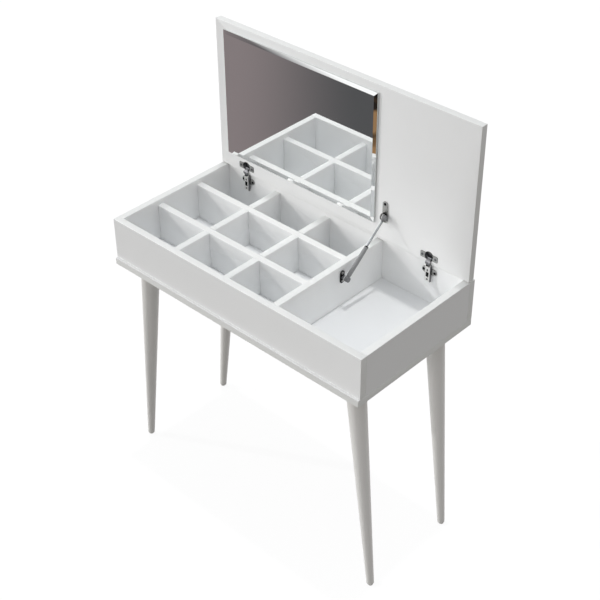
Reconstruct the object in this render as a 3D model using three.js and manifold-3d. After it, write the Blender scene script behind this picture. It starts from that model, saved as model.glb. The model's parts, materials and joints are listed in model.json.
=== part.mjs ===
// Flip-top vanity table: a shallow compartmented box on four splayed legs,
// closed by a hinged lid that carries a bevelled mirror on its inner face.
// Millimetres, +X to the right, +Y to the back, +Z up.
// The origin is on the floor, midway between the legs. The lid stands open.

import {
  BufferAttribute, BufferGeometry, CylinderGeometry, ExtrudeGeometry, Group, LatheGeometry,
  Matrix4, Mesh, MeshStandardMaterial, Path, QuadraticBezierCurve, Shape, SphereGeometry,
  Vector2, Vector3,
} from 'three';
import { ConvexGeometry } from 'three/addons/geometries/ConvexGeometry.js';
import { mergeVertices } from 'three/addons/utils/BufferGeometryUtils.js';
import Module from 'manifold-3d';

const wasm = await Module();
wasm.setup();

// ---------------------------------------------------------------- driving sizes

const seam = 0.3; // clearance between pieces that are fixed together
const runningGap = 0.3; // clearance between pieces that move on each other

const boardThickness = 18;
const boardEdge = 0.8; // rounding of the edge banding
const boardCorner = 1.2; // rounding of a board's corners, seen square on
const tableWidth = 800;
const topDepth = 400; // the bottom panel and the lid
const wallHeight = 112;
const frontReveal = 6; // how far the bottom panel stands proud of the front panel

const cellWidths = [167, 151, 152]; // left to right, between the lengthwise dividers
const rowDepths = [110.5, 115]; // front to back, between the cross dividers
const dividerDrop = 14; // the dividers under the mirror stay this far below the rim
const lapClearance = 0.3; // each side of a half-lap slot

const legHeight = 610;
const legTopDiameter = 48;
const legFootDiameter = 19;
const legSplay = 6; // degrees outwards, in the plane of the long side
const legFromEnd = 60; // leg axis to the end of the table, at the underside
const legFromEdge = 60; // leg axis to the long edge of the bottom panel
const legEdge = 1; // chamfer round the leg's top
const footRounding = 2.5;
const glideDiameter = 13;
const glideThickness = 3.5;

const legPlateSize = 66;
const legPlateThickness = 2.5;
const legPlateCorner = 8;
const legPlateScrewPitch = 46;
const legPlateScrewHole = 5;
const legBossDiameter = 40;
const legBossDrop = 13; // underside of the bottom panel to the leg's top, on the leg axis
const legBoltDiameter = 8;
const legBoltTop = 4.5; // below the underside of the bottom panel, on the leg axis
const legBoltInLeg = 30;

const lidStandIn = 24; // back of the box to the inner face of the open lid
const lidRearOverhang = 6; // how far the closed lid passes the back of the box
const lidOpenGap = 2.4; // under the open lid
const lidClosedGap = 2; // under the closed lid

const mirrorFromLidEnd = 30;
const mirrorFromLidHinge = 41.5; // lid's lower edge to the mirror's
const mirrorFromWall = 4; // closed, the mirror drops in beside the compartment wall
const mirrorFromFront = 0.8; // and just behind the front panel
const mirrorThickness = 5;
const mirrorBevelWidth = 10;
const mirrorBevelDepth = 1.5;
const tapeThickness = 0.7;
const tapeInset = 12;

const hingeFromEnd = { left: 90.5, right: 115.5 };
const cupDiameter = 26;
const cupDepth = 11;
const cupWall = 0.8;
const cupFromLidEdge = 18.5; // lid edge to the cup's centre
const flangeLength = 50;
const flangeWidth = 16.4;
const flangeThickness = 1;
const flangeCorner = 3;
const flangeScrewPitch = 38;
const armWidth = 14;
const armWall = 1.2;
const armChamfer = 2.5;
const armDepth = 9.5; // front of the arm to the back panel
const armLength = 49; // below the rim
const armOpenings = [[4, 6, 16], [5, 12, 28], [4.5, 4.5, 41]]; // width, height, below the rim
const cheekMargin = 2; // metal round the link's eye
const cheekFromPanel = 0.8;
const hingePlateThickness = 2;
const hingePlateSpan = 42;
const hingePlateHeight = 16;
const hingePlateBelowRim = 22;
const hingePlateScrewPitch = 32;
const hingeRibDepth = 4; // the plate's rib, which leaves room for screws behind the arm
const hingeRibShortfall = 4; // the rib stops this far above the arm's lower end
const hingeScrewHole = 4;
const pinDiameter = 2.5;
const pinClearance = 0.15; // all round a hinge pin, in the link's eye
const linkThickness = 1.6;
const linkEyeDiameter = 4.6;
const linkBowForward = 15; // control point of the link's curve, from its arm pivot
const linkBowUp = 14;
const armPivotFromPanel = 4;
const armPivotBelowRim = 6;
const cupPivotDepth = 4; // behind the lid's inner face

const strutPlaneFromWall = 15; // compartment wall to the plane in which the strut swings
const strutBottomFromBack = 165;
const strutBottomBelowRim = 30.5;
const strutTopFromLidEdge = 74;
const strutTopStandoff = 11;
const tubeDiameter = 12;
const tubeWall = 1.2;
const guideLength = 5;
const rodDiameter = 4;
const pistonLength = 4;
const pistonEndGap = 1.2;
const socketDiameter = 13;
const socketLength = 13;
const socketReach = 9; // ball centre to the end of the socket's neck
const socketNeckDiameter = 9;
const socketFloor = 1.5; // left behind the ball's bore
const ballDiameter = 9;
const studDiameter = 5;
const studCollarDiameter = 9;
const studCollarLength = 2;
const tubeChamfer = 1;
const bracketThickness = 2;
const bracketWidth = 15;
const lidBracketLength = 58;
const lidBracketScrewPitch = 44;
const lidBracketRise = 8; // its middle above the top ball stud
const wallBracketLength = 34;
const wallBracketScrewPitch = 22;
const bracketScrewHole = 4;
const earMargin = 1; // metal round the stud's collar
const earCorner = 4;
const earSetback = 1.3; // ear to socket

// ------------------------------------------------------------ worked-out places

const halfWidth = tableWidth / 2;
const halfDepth = topDepth / 2;
const undersideZ = legHeight;
const floorZ = undersideZ + boardThickness;
const rimZ = floorZ + wallHeight;
const backFaceY = halfDepth;
const backPanelInnerY = backFaceY - boardThickness;
const frontFaceY = -halfDepth + frontReveal;
const frontPanelInnerY = frontFaceY + boardThickness;
const sideInnerX = halfWidth - boardThickness;
const lidInnerY = backFaceY - lidStandIn;
const lidBottomZ = rimZ + lidOpenGap;
const closedRearY = backFaceY + lidRearOverhang;
const hingeX = { left: hingeFromEnd.left - halfWidth, right: halfWidth - hingeFromEnd.right };

const armPivot = { y: backPanelInnerY - armPivotFromPanel, z: rimZ - armPivotBelowRim };
const cupPivotOpen = { y: lidInnerY + cupPivotDepth, z: lidBottomZ + cupPivotFromEdge() };

const lengthwiseX = [];
cellWidths.reduce((x, cell) => {
  lengthwiseX.push(x + cell + boardThickness / 2);
  return x + cell + boardThickness;
}, -sideInnerX);
const wallX = lengthwiseX[2];

// The lid carries the mirror down between the left side panel and the compartment wall.
const mirrorLeftX = mirrorFromLidEnd - halfWidth;
const mirrorWidth = wallX - boardThickness / 2 - mirrorFromWall - mirrorLeftX;
const mirrorHeight = closedRearY - mirrorFromLidHinge - (frontPanelInnerY + mirrorFromFront);

const crossY = [];
rowDepths.reduce((y, row) => {
  crossY.push(y + row + boardThickness / 2);
  return y + row + boardThickness;
}, frontPanelInnerY);

const strutX = wallX + boardThickness / 2 + strutPlaneFromWall;
const strutBottom = { y: backFaceY - strutBottomFromBack, z: rimZ - strutBottomBelowRim };
const strutTop = { y: lidInnerY - strutTopStandoff, z: lidBottomZ + strutTopFromLidEdge };
const strutTopClosed = {
  y: closedRearY - strutTopFromLidEdge,
  z: rimZ + lidClosedGap - strutTopStandoff,
};
const strutOpenLength = distance(strutBottom, strutTop);
const strutClosedLength = distance(strutBottom, strutTopClosed);

function distance(a, b) {
  return Math.hypot(a.y - b.y, a.z - b.z);
}

// The lid turns a quarter circle between its two end places, so a link can join them only
// if its arm pivot is as far from the cup pivot's open place as from its closed place.
// This gives the one distance from the lid's edge at which that holds.
function cupPivotFromEdge() {
  const poleY = (lidInnerY + closedRearY + lidOpenGap - lidClosedGap) / 2;
  const poleZ = poleY - lidInnerY + lidClosedGap;
  const y = armPivot.y - poleY;
  const z = -armPivotBelowRim - poleZ;
  const gaps = lidOpenGap + lidClosedGap;
  const k = (closedRearY + lidInnerY + gaps + 2 * cupPivotDepth - 2 * (poleY + poleZ)) / (2 * (y + z));
  return 2 * poleZ - gaps - cupPivotDepth + 2 * k * z;
}

// -------------------------------------------------------------------- materials

function finish(name, color, roughness, metalness) {
  return new MeshStandardMaterial({ name, color, roughness, metalness });
}

const melamine = () => finish('white melamine', '#eceeee', 0.45, 0);
const lacquer = () => finish('white lacquer', '#e6e6e4', 0.4, 0);
const silvering = () => finish('silvered glass', '#c8ccce', 0.04, 1);
const foam = () => finish('foam tape', '#d8d8d4', 0.9, 0);
const nickel = () => finish('nickel plate', '#8d8f90', 0.3, 1);
const zinc = () => finish('zinc plate', '#9fa2a4', 0.4, 1);
const greyPaint = () => finish('grey tube paint', '#7b7c7d', 0.45, 0.3);
const chromium = () => finish('hard chromium', '#b4b6b8', 0.15, 1);
const greyNylon = () => finish('grey nylon', '#77787a', 0.5, 0);
const whiteNylon = () => finish('white nylon', '#d9d9d5', 0.5, 0);

// ---------------------------------------------------------------- shape helpers

function toSolid(geometry) {
  const bare = geometry.clone();
  bare.deleteAttribute('normal');
  bare.deleteAttribute('uv');
  const merged = mergeVertices(bare, 1e-4);
  const vertProperties = new Float32Array(merged.attributes.position.array);
  const triVerts = new Uint32Array(merged.index.array);
  return new wasm.Manifold(new wasm.Mesh({ numProp: 3, vertProperties, triVerts }));
}

function toGeometry(solid) {
  const mesh = solid.getMesh();
  const geometry = new BufferGeometry();
  geometry.setAttribute('position', new BufferAttribute(new Float32Array(mesh.vertProperties), 3));
  geometry.setIndex(new BufferAttribute(new Uint32Array(mesh.triVerts), 1));
  geometry.computeVertexNormals();
  return geometry;
}

function cut(geometry, ...tools) {
  return toGeometry(tools.reduce((solid, tool) => solid.subtract(toSolid(tool)), toSolid(geometry)));
}

function join(...geometries) {
  return toGeometry(geometries.map(toSolid).reduce((a, b) => a.add(b)));
}

function common(a, b) {
  return toGeometry(toSolid(a).intersect(toSolid(b)));
}

// Cylinder along +Z, from z = bottom to z = top.
function rod(diameter, bottom, top, segments = 16) {
  return new CylinderGeometry(diameter / 2, diameter / 2, top - bottom, segments)
    .rotateX(Math.PI / 2)
    .translate(0, 0, (top + bottom) / 2);
}

const alongX = (geometry) => geometry.rotateY(Math.PI / 2);
const alongY = (geometry) => geometry.rotateX(-Math.PI / 2);

// Revolved about Z. The points are [radius, height] pairs, up the outside first.
function revolved(points, segments = 32) {
  return new LatheGeometry(points.map(([r, z]) => new Vector2(r, z)), segments).rotateX(Math.PI / 2);
}

function polygon(points) {
  return new Shape(points.map(([x, y]) => new Vector2(x, y)));
}

function roundedRectangle(width, height, radius) {
  const x = width / 2 - radius;
  const y = height / 2 - radius;
  return new Shape()
    .absarc(x, y, radius, 0, Math.PI / 2)
    .absarc(-x, y, radius, Math.PI / 2, Math.PI)
    .absarc(-x, -y, radius, Math.PI, 1.5 * Math.PI)
    .absarc(x, -y, radius, 1.5 * Math.PI, 2 * Math.PI);
}

function withHoles(shape, holes) {
  holes.forEach(([x, y, diameter]) => {
    shape.holes.push(new Path().absarc(x, y, diameter / 2, 0, 2 * Math.PI, true));
  });
  return shape;
}

// Flat piece: the outline in XY, extruded from z = 0 to z = thickness.
function plate(shape, thickness, edge = 0, curveSegments = 4) {
  return new ExtrudeGeometry(shape, {
    depth: thickness - 2 * edge,
    bevelEnabled: edge > 0,
    bevelThickness: edge,
    bevelSize: edge,
    bevelOffset: -edge,
    bevelSegments: 2,
    curveSegments,
  }).translate(0, 0, edge);
}

// Stand a flat piece up: its outline's x, y run along Y, Z and its thickness along +X.
const facingX = new Matrix4().makeBasis(
  new Vector3(0, 1, 0), new Vector3(0, 0, 1), new Vector3(1, 0, 0),
);
// Stand a flat piece up: its outline's x, y run along X, Z and its thickness along -Y.
const facingFront = new Matrix4().makeBasis(
  new Vector3(1, 0, 0), new Vector3(0, 0, 1), new Vector3(0, -1, 0),
);

function node(name, geometry, material, x = 0, y = 0, z = 0) {
  const mesh = new Mesh(geometry, material);
  mesh.name = name;
  mesh.position.set(x, y, z);
  return mesh;
}

function standing(mesh, basis) {
  mesh.quaternion.setFromRotationMatrix(basis);
  return mesh;
}

function board(width, height) {
  return plate(roundedRectangle(width, height, boardCorner), boardThickness, boardEdge, 2);
}

// -------------------------------------------------------------------------- box

function bottomPanel() {
  return node('bottom_panel', board(tableWidth, topDepth), melamine(), 0, 0, undersideZ);
}

function longPanel(name, outerY, facesFront) {
  const height = wallHeight - seam;
  const y = facesFront ? outerY + boardThickness : outerY;
  const panel = node(name, board(tableWidth, height), melamine(), 0, y, rimZ - height / 2);
  return standing(panel, facingFront);
}

function sidePanel(name, innerX) {
  const height = wallHeight - seam;
  const length = backPanelInnerY - frontPanelInnerY - 2 * seam;
  const middleY = (backPanelInnerY + frontPanelInnerY) / 2;
  const x = innerX > 0 ? innerX : innerX - boardThickness;
  return standing(node(name, board(length, height), melamine(), x, middleY, rimZ - height / 2), facingX);
}

// A divider's outline: a strip with half-lap slots, which open upwards or downwards.
function dividerOutline(start, end, height, slots, slotsOpenUp) {
  const slotHalf = boardThickness / 2 + lapClearance;
  const closedEdge = slotsOpenUp ? 0 : height;
  const openEdge = slotsOpenUp ? height : 0;
  const slotDepth = height / 2 + lapClearance / 2;
  const slotEnd = slotsOpenUp ? height - slotDepth : slotDepth;
  const points = [[start, closedEdge], [start, openEdge]];
  slots.forEach((centre) => points.push(
    [centre - slotHalf, openEdge],
    [centre - slotHalf, slotEnd],
    [centre + slotHalf, slotEnd],
    [centre + slotHalf, openEdge],
  ));
  points.push([end, openEdge], [end, closedEdge]);
  return polygon(slotsOpenUp ? points.reverse() : points);
}

function lengthwiseDivider(name, x) {
  const height = wallHeight - dividerDrop - seam;
  const shape = dividerOutline(frontPanelInnerY + seam, backPanelInnerY - seam, height, crossY, true);
  const solid = plate(shape, boardThickness, boardEdge);
  return standing(node(name, solid, melamine(), x - boardThickness / 2, 0, floorZ + seam), facingX);
}

function crossDivider(name, y) {
  const height = wallHeight - dividerDrop - seam;
  const end = wallX - boardThickness / 2 - seam;
  const shape = dividerOutline(-sideInnerX + seam, end, height, lengthwiseX.slice(0, 2), false);
  const solid = plate(shape, boardThickness, boardEdge);
  return standing(node(name, solid, melamine(), 0, y + boardThickness / 2, floorZ + seam), facingFront);
}

function box() {
  const group = new Group();
  group.add(
    bottomPanel(),
    longPanel('front_panel', frontFaceY, true),
    longPanel('back_panel', backFaceY, false),
    sidePanel('left_side_panel', -sideInnerX),
    sidePanel('right_side_panel', sideInnerX),
    lengthwiseDivider('left_divider', lengthwiseX[0]),
    lengthwiseDivider('middle_divider', lengthwiseX[1]),
    sidePanel('compartment_wall', wallX - boardThickness / 2),
    crossDivider('front_cross_divider', crossY[0]),
    crossDivider('rear_cross_divider', crossY[1]),
  );
  return group;
}

// ------------------------------------------------------------------------- legs

// Each leg's pieces are built hanging down its own axis, from the point where the axis meets
// the bottom panel. A group then tilts them outwards about that point.
const splay = (legSplay * Math.PI) / 180;
const legTopZ = -legBossDrop - seam;
const legFootZ = glideThickness - legHeight / Math.cos(splay);
const legBoltEnd = legTopZ - legBoltInLeg;
const legBoltHole = legBoltDiameter + 2 * seam;

// A slab that is level once the leg is tilted, for trimming its pieces to the horizontal.
function levelSlab(tilt, bottom, top) {
  const shape = roundedRectangle(legHeight, legHeight, legEdge);
  return plate(shape, top - bottom, 0, 1).translate(0, 0, bottom).rotateY(-tilt);
}

function legPlate(tilt) {
  const half = legPlateScrewPitch / 2;
  const holes = [-half, half].flatMap((x) => [-half, half].map((y) => [x, y, legPlateScrewHole]));
  const outline = withHoles(roundedRectangle(legPlateSize, legPlateSize, legPlateCorner), holes);
  const bottom = -seam - legPlateThickness;
  const flat = plate(outline, legPlateThickness).translate(0, 0, bottom).rotateY(-tilt);
  const inside = bottom + legPlateThickness / 2;
  const boss = common(rod(legBossDiameter, -legBossDrop, 0, 32), levelSlab(tilt, -legPlateSize, inside));
  return cut(join(flat, boss), rod(legBoltHole, -legPlateSize, legPlateSize));
}

function turnedLeg() {
  const topRadius = legTopDiameter / 2;
  const flatRadius = legFootDiameter / 2 - footRounding;
  const rounding = [0, 1, 2, 3].map((step) => (step * Math.PI) / 6).map((angle) => [
    flatRadius + footRounding * Math.sin(angle),
    legFootZ + footRounding - footRounding * Math.cos(angle),
  ]);
  const shoulder = [[topRadius, legTopZ - legEdge], [topRadius - legEdge, legTopZ]];
  const body = revolved([[0, legFootZ], ...rounding, ...shoulder, [0, legTopZ]], 36);
  return cut(body, rod(legBoltHole, legBoltEnd - seam, 0));
}

function leg(corner, sideX, sideY) {
  const tilt = -sideX * splay;
  const glide = common(
    rod(glideDiameter, -2 * legHeight, legFootZ - seam),
    levelSlab(tilt, -legHeight, 0),
  );
  const group = new Group();
  group.position.set(sideX * (halfWidth - legFromEnd), sideY * (halfDepth - legFromEdge), undersideZ);
  group.rotation.y = tilt;
  group.add(
    node(`${corner}_leg_plate`, legPlate(tilt), zinc()),
    node(`${corner}_leg`, turnedLeg(), lacquer()),
    node(`${corner}_leg_bolt`, rod(legBoltDiameter, legBoltEnd, -legBoltTop), zinc()),
    node(`${corner}_foot_glide`, glide, whiteNylon()),
  );
  return group;
}

function legs() {
  const group = new Group();
  group.add(
    leg('front_left', -1, -1),
    leg('front_right', 1, -1),
    leg('rear_left', -1, 1),
    leg('rear_right', 1, 1),
  );
  return group;
}

// ------------------------------------------------------------------ lid, mirror

function lidPanel() {
  const bore = alongY(rod(cupDiameter + 2 * seam, -seam, cupDepth + seam, 32));
  const bores = Object.values(hingeX).map(
    (x) => bore.clone().translate(x, 0, cupFromLidEdge - topDepth / 2),
  );
  const upright = board(tableWidth, topDepth).applyMatrix4(facingFront).translate(0, boardThickness, 0);
  return node('lid_panel', cut(upright, ...bores), melamine(), 0, lidInnerY, lidBottomZ + topDepth / 2);
}

// Flat-backed glass whose front edges are ground off at a shallow angle.
function bevelledGlass(width, height, thickness) {
  const corners = [-1, 1].flatMap((x) => [-1, 1].map((z) => [x, z]));
  const ring = (inset, y) => corners.map(
    ([x, z]) => new Vector3(x * (width / 2 - inset), y, z * (height / 2 - inset)),
  );
  return new ConvexGeometry([
    ...ring(0, 0),
    ...ring(0, -(thickness - mirrorBevelDepth)),
    ...ring(mirrorBevelWidth, -thickness),
  ]);
}

function mirror() {
  const group = new Group();
  const x = mirrorLeftX + mirrorWidth / 2;
  group.position.set(x, lidInnerY - seam, lidBottomZ + mirrorFromLidHinge + mirrorHeight / 2);
  const tapeShape = roundedRectangle(mirrorWidth - 2 * tapeInset, mirrorHeight - 2 * tapeInset, 1);
  const tape = standing(node('mirror_tape', plate(tapeShape, tapeThickness, 0, 2), foam()), facingFront);
  const glassBack = -tapeThickness - seam;
  const glass = bevelledGlass(mirrorWidth, mirrorHeight, mirrorThickness);
  group.add(tape, node('mirror_glass', glass, silvering(), 0, glassBack, 0));
  return group;
}

// ----------------------------------------------------------------------- hinges

// A pressed cup in the lid, with a flange that is screwed to the lid's inner face.
function hingeCup(side) {
  const outer = cupDiameter / 2;
  const inner = outer - cupWall;
  const floor = cupDepth - cupWall;
  const front = -seam - flangeThickness;
  const wall = revolved([
    [inner, 0], [outer, 0], [outer, cupDepth], [0, cupDepth], [0, floor], [inner, floor], [inner, 0],
  ], 32);
  const shape = () => roundedRectangle(flangeLength, flangeWidth, flangeCorner);
  const holes = [-1, 1].map((x) => [(x * flangeScrewPitch) / 2, 0, hingeScrewHole]);
  const flange = plate(withHoles(shape(), holes), flangeThickness).translate(0, 0, front);
  const strip = plate(shape(), floor).translate(0, 0, front);
  const neck = common(rod(cupDiameter, front, cupWall, 32), strip);
  const mouth = rod(2 * inner, -cupDepth, floor, 32);
  const pressed = join(cut(join(flange, neck), mouth), wall);
  return node(`${side}_hinge_cup`, alongY(pressed), nickel(), 0, lidInnerY, lidBottomZ + cupFromLidEdge);
}

// Bows out in front of the lid's lower edge, so that it clears the lid and the back panel.
function hingeLink(side) {
  const start = new Vector2(0, 0);
  const end = new Vector2(cupPivotOpen.y - armPivot.y, cupPivotOpen.z - armPivot.z);
  const bow = new QuadraticBezierCurve(start, new Vector2(-linkBowForward, linkBowUp), end);
  const edgePoint = (t, offset) => {
    const along = bow.getTangent(t);
    const point = bow.getPoint(t);
    return [point.x - along.y * offset, point.y + along.x * offset];
  };
  const steps = Array.from({ length: 9 }, (_, i) => i / 8);
  const strap = polygon([
    ...steps.map((t) => edgePoint(t, -linkThickness / 2)),
    ...steps.reverse().map((t) => edgePoint(t, linkThickness / 2)),
  ]);
  const width = armWidth - 2 * armWall - 2 * runningGap;
  const eye = (at) => rod(linkEyeDiameter, 0, width).translate(at.x, at.y, 0);
  const hole = (at) => rod(pinDiameter + 2 * pinClearance, -seam, width + seam, 12).translate(at.x, at.y, 0);
  const body = cut(join(plate(strap, width), eye(start), eye(end)), hole(start), hole(end));
  return standing(node(`${side}_hinge_link`, body, nickel(), -width / 2, armPivot.y, armPivot.z), facingX);
}

// Folded channel that hooks over the mounting plate. Its cheeks rise to hold the arm pin.
// Heights are measured from the rim.
function hingeArm(side) {
  const front = backPanelInnerY - armDepth;
  const back = backPanelInnerY - hingePlateThickness - 2 * seam;
  const cheekBack = backPanelInnerY - cheekFromPanel;
  const cheekFoot = hingePlateHeight / 2 - hingePlateBelowRim + 2 * seam;
  const cheekTop = linkEyeDiameter / 2 + cheekMargin - armPivotBelowRim;
  const profile = polygon([
    [front, armChamfer - armLength], [front + armChamfer, -armLength], [back, -armLength],
    [back, cheekFoot], [cheekBack, cheekFoot], [cheekBack, cheekTop - armChamfer],
    [cheekBack - armChamfer, cheekTop], [front + armChamfer, cheekTop], [front, cheekTop - armChamfer],
  ]);
  const blank = plate(profile, armWidth).applyMatrix4(facingX).translate(-armWidth / 2, 0, 0);
  const pinHole = alongX(rod(pinDiameter + 2 * pinClearance, -armWidth, armWidth, 12))
    .translate(0, armPivot.y, -armPivotBelowRim);
  // Cuts backwards from a given Y, right through the arm.
  const opening = (shape, y, z) => plate(shape, 2 * armDepth, 0, 3)
    .applyMatrix4(facingFront)
    .translate(0, y + 2 * armDepth, z);
  const channelWidth = armWidth - 2 * armWall;
  const channel = opening(roundedRectangle(channelWidth, 2 * armLength, seam), front + armWall, 0);
  const mouth = opening(roundedRectangle(channelWidth, 2 * armPivotBelowRim, seam), front - armWall, 0);
  const slots = armOpenings.map(([width, height, below]) => opening(
    roundedRectangle(width, height, width / 2 - seam / 2), front - armWall, -below,
  ));
  const folded = cut(blank, channel, mouth, pinHole, ...slots);
  return node(`${side}_hinge_arm`, folded, nickel(), 0, 0, rimZ);
}

// Winged plate screwed to the back panel, with a rib that guides the arm's channel.
function hingePlate(side) {
  const holes = [-1, 1].map((x) => [(x * hingePlateScrewPitch) / 2, 0, hingeScrewHole]);
  const wings = roundedRectangle(hingePlateSpan, hingePlateHeight, hingePlateHeight / 2 - seam);
  const ribWidth = armWidth - 2 * armWall - 2 * seam;
  const ribTop = hingePlateHeight / 2;
  const ribBottom = hingePlateBelowRim + hingeRibShortfall - armLength;
  const rib = plate(roundedRectangle(ribWidth, ribTop - ribBottom, seam), hingeRibDepth, 0, 1)
    .translate(0, (ribTop + ribBottom) / 2, 0);
  const solid = join(plate(withHoles(wings, holes), hingePlateThickness), rib);
  const z = rimZ - hingePlateBelowRim;
  return standing(node(`${side}_hinge_plate`, solid, nickel(), 0, backPanelInnerY - seam, z), facingFront);
}

function hingePin(name, length, place) {
  return node(name, alongX(rod(pinDiameter, -length / 2, length / 2, 12)), zinc(), 0, place.y, place.z);
}

function hinge(side, x) {
  const inner = cupDiameter / 2 - cupWall;
  const offCentre = cupFromLidEdge - cupPivotFromEdge() + pinDiameter / 2;
  const cupPinLength = 2 * (Math.sqrt(inner ** 2 - offCentre ** 2) - seam);
  const group = new Group();
  group.position.x = x;
  group.add(
    hingeCup(side),
    hingeLink(side),
    hingeArm(side),
    hingePlate(side),
    hingePin(`${side}_hinge_arm_pin`, armWidth, armPivot),
    hingePin(`${side}_hinge_cup_pin`, cupPinLength, cupPivotOpen),
  );
  return group;
}

// -------------------------------------------------------------------- gas strut

// End fitting: a barrel across the strut with a blind bore for the ball, and a neck.
function ballSocket() {
  const half = socketLength / 2;
  const barrel = alongX(rod(socketDiameter, -half, half, 24));
  const neck = rod(socketNeckDiameter, ballDiameter / 2 + runningGap, socketReach);
  const bore = alongX(rod(ballDiameter + 2 * runningGap, -socketLength, half - socketFloor, 24));
  return cut(join(barrel, neck), bore);
}

// Ball stud, its shank reaching in -X from the ball to shankLength.
function ballStud(shankLength) {
  const ball = new SphereGeometry(ballDiameter / 2, 16, 10);
  const collar = alongX(rod(studCollarDiameter, -shankLength, studCollarLength - shankLength));
  return join(ball, alongX(rod(studDiameter, -shankLength, 0)), collar);
}

// A plate with rounded ends and two screw holes, its outline's length along y.
function strapShape(width, length, screwPitch) {
  const holes = [-1, 1].map((y) => [0, (y * screwPitch) / 2, bracketScrewHole]);
  return withHoles(roundedRectangle(width, length, width / 2 - seam), holes);
}

// Closed end at z = 0. In the closed lid, the rod's end fitting almost meets the open end.
function strutTube() {
  const length = strutClosedLength - 2 * (socketReach + seam) - seam;
  const outer = tubeDiameter / 2;
  const bore = outer - tubeWall;
  const guide = rodDiameter / 2 + runningGap;
  return revolved([
    [0, 0], [outer - tubeChamfer, 0], [outer, tubeChamfer], [outer, length - tubeChamfer],
    [outer - tubeChamfer, length], [guide, length], [guide, length - guideLength],
    [bore, length - guideLength], [bore, tubeWall], [0, tubeWall],
  ], 24);
}

// Rod and piston, with the rod's outer end at z = 0 and the piston hanging below.
function strutRod() {
  const radius = rodDiameter / 2;
  const piston = tubeDiameter / 2 - tubeWall - runningGap;
  const length = strutClosedLength - 2 * (socketReach + seam) - tubeWall - pistonEndGap;
  return revolved([
    [0, -length], [piston, -length], [piston, pistonLength - length],
    [radius, pistonLength - length], [radius, 0], [0, 0],
  ], 20);
}

function strut() {
  const group = new Group();
  group.position.set(strutX, strutBottom.y, strutBottom.z);
  group.rotation.x = -Math.atan2(strutTop.y - strutBottom.y, strutTop.z - strutBottom.z);
  const topSocket = ballSocket().rotateX(Math.PI);
  group.add(
    node('strut_tube', strutTube(), greyPaint(), 0, 0, socketReach + seam),
    node('strut_bottom_socket', ballSocket(), greyNylon()),
    node('strut_bottom_stud', ballStud(strutPlaneFromWall - bracketThickness - 2 * seam), zinc()),
    node('strut_rod', strutRod(), chromium(), 0, 0, strutOpenLength - socketReach - seam),
    node('strut_top_socket', topSocket, greyNylon(), 0, 0, strutOpenLength),
    node('strut_top_stud', ballStud(socketLength / 2 + earSetback), zinc(), 0, 0, strutOpenLength),
  );
  return group;
}

function wallBracket() {
  const shape = strapShape(bracketWidth, wallBracketLength, wallBracketScrewPitch);
  const bracket = node('strut_wall_bracket', plate(shape, bracketThickness), nickel());
  bracket.position.set(wallX + boardThickness / 2 + seam, strutBottom.y, strutBottom.z);
  return standing(bracket, facingX);
}

// Plate on the lid with an ear folded forwards, which carries the top ball stud.
function lidBracket() {
  const earX = -socketLength / 2 - earSetback - seam - bracketThickness;
  const reach = strutTopStandoff + studCollarDiameter / 2 + earMargin - seam;
  const ear = plate(roundedRectangle(2 * reach, bracketWidth, earCorner), bracketThickness)
    .applyMatrix4(facingX)
    .translate(earX, 0, 0);
  const inFront = plate(roundedRectangle(4 * reach, 4 * reach, earCorner), 2 * reach, 0, 1)
    .applyMatrix4(facingFront);
  const base = plate(strapShape(bracketWidth, lidBracketLength, lidBracketScrewPitch), bracketThickness)
    .applyMatrix4(facingFront)
    .translate(earX + bracketWidth / 4, 0, lidBracketRise);
  const pressed = join(base, common(ear, inFront));
  return node('strut_lid_bracket', pressed, nickel(), strutX, lidInnerY - seam, strutTop.z);
}

// --------------------------------------------------------------------- assembly

const group = new Group();
group.add(box(), legs(), lidPanel(), mirror());
Object.entries(hingeX).forEach(([side, x]) => group.add(hinge(side, x)));
group.add(strut(), wallBracket(), lidBracket());

export default group;
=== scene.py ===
# %% [markdown]
# # Flip-top vanity table
# A shallow box of white board stands on four splayed legs. Its lid is hinged at the
# back, carries a bevelled mirror on its inner face and is held open by a gas strut.
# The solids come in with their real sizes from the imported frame. This script gives them
# their finishes, and makes the small or smooth things that they leave plain: turned legs,
# screws, eased boards, hinge details and the fittings of the strut.

# %% Load the solids and keep their box
import itertools
import json
import math

import bmesh
import bpy
from mathutils import Matrix, Vector


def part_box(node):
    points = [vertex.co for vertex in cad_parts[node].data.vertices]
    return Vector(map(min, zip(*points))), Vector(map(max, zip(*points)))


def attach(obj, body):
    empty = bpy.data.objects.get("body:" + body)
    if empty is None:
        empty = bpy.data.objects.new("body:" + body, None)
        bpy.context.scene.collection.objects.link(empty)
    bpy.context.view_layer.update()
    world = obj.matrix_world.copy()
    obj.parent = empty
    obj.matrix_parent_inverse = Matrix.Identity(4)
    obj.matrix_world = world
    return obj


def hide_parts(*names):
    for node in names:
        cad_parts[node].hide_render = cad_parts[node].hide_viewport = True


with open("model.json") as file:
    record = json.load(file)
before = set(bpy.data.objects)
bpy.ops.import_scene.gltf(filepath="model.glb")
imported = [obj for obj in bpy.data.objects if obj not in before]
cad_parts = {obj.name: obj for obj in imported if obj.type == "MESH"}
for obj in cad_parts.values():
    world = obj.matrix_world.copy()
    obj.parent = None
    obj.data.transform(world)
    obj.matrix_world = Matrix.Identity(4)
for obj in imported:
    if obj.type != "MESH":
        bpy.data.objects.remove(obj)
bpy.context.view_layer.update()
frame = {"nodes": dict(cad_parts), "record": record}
MM = 0.001

# %% [markdown]
# ## The camera
# A long lens looks down on the table from in front and to the right, so upright edges
# stay nearly parallel. A compass direction, a height angle and a small roll say how the
# camera looks, because those are what one can judge.

# %% Camera
AZIMUTH = math.radians(43.425)
ELEVATION = math.radians(36.669)
ROLL = math.radians(-0.439)
CAMERA_PLACE = Vector((1.7429, -1.7983, 2.4531))
FOCAL_LENGTH, FILM_WIDTH = 77.3, 36


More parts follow.
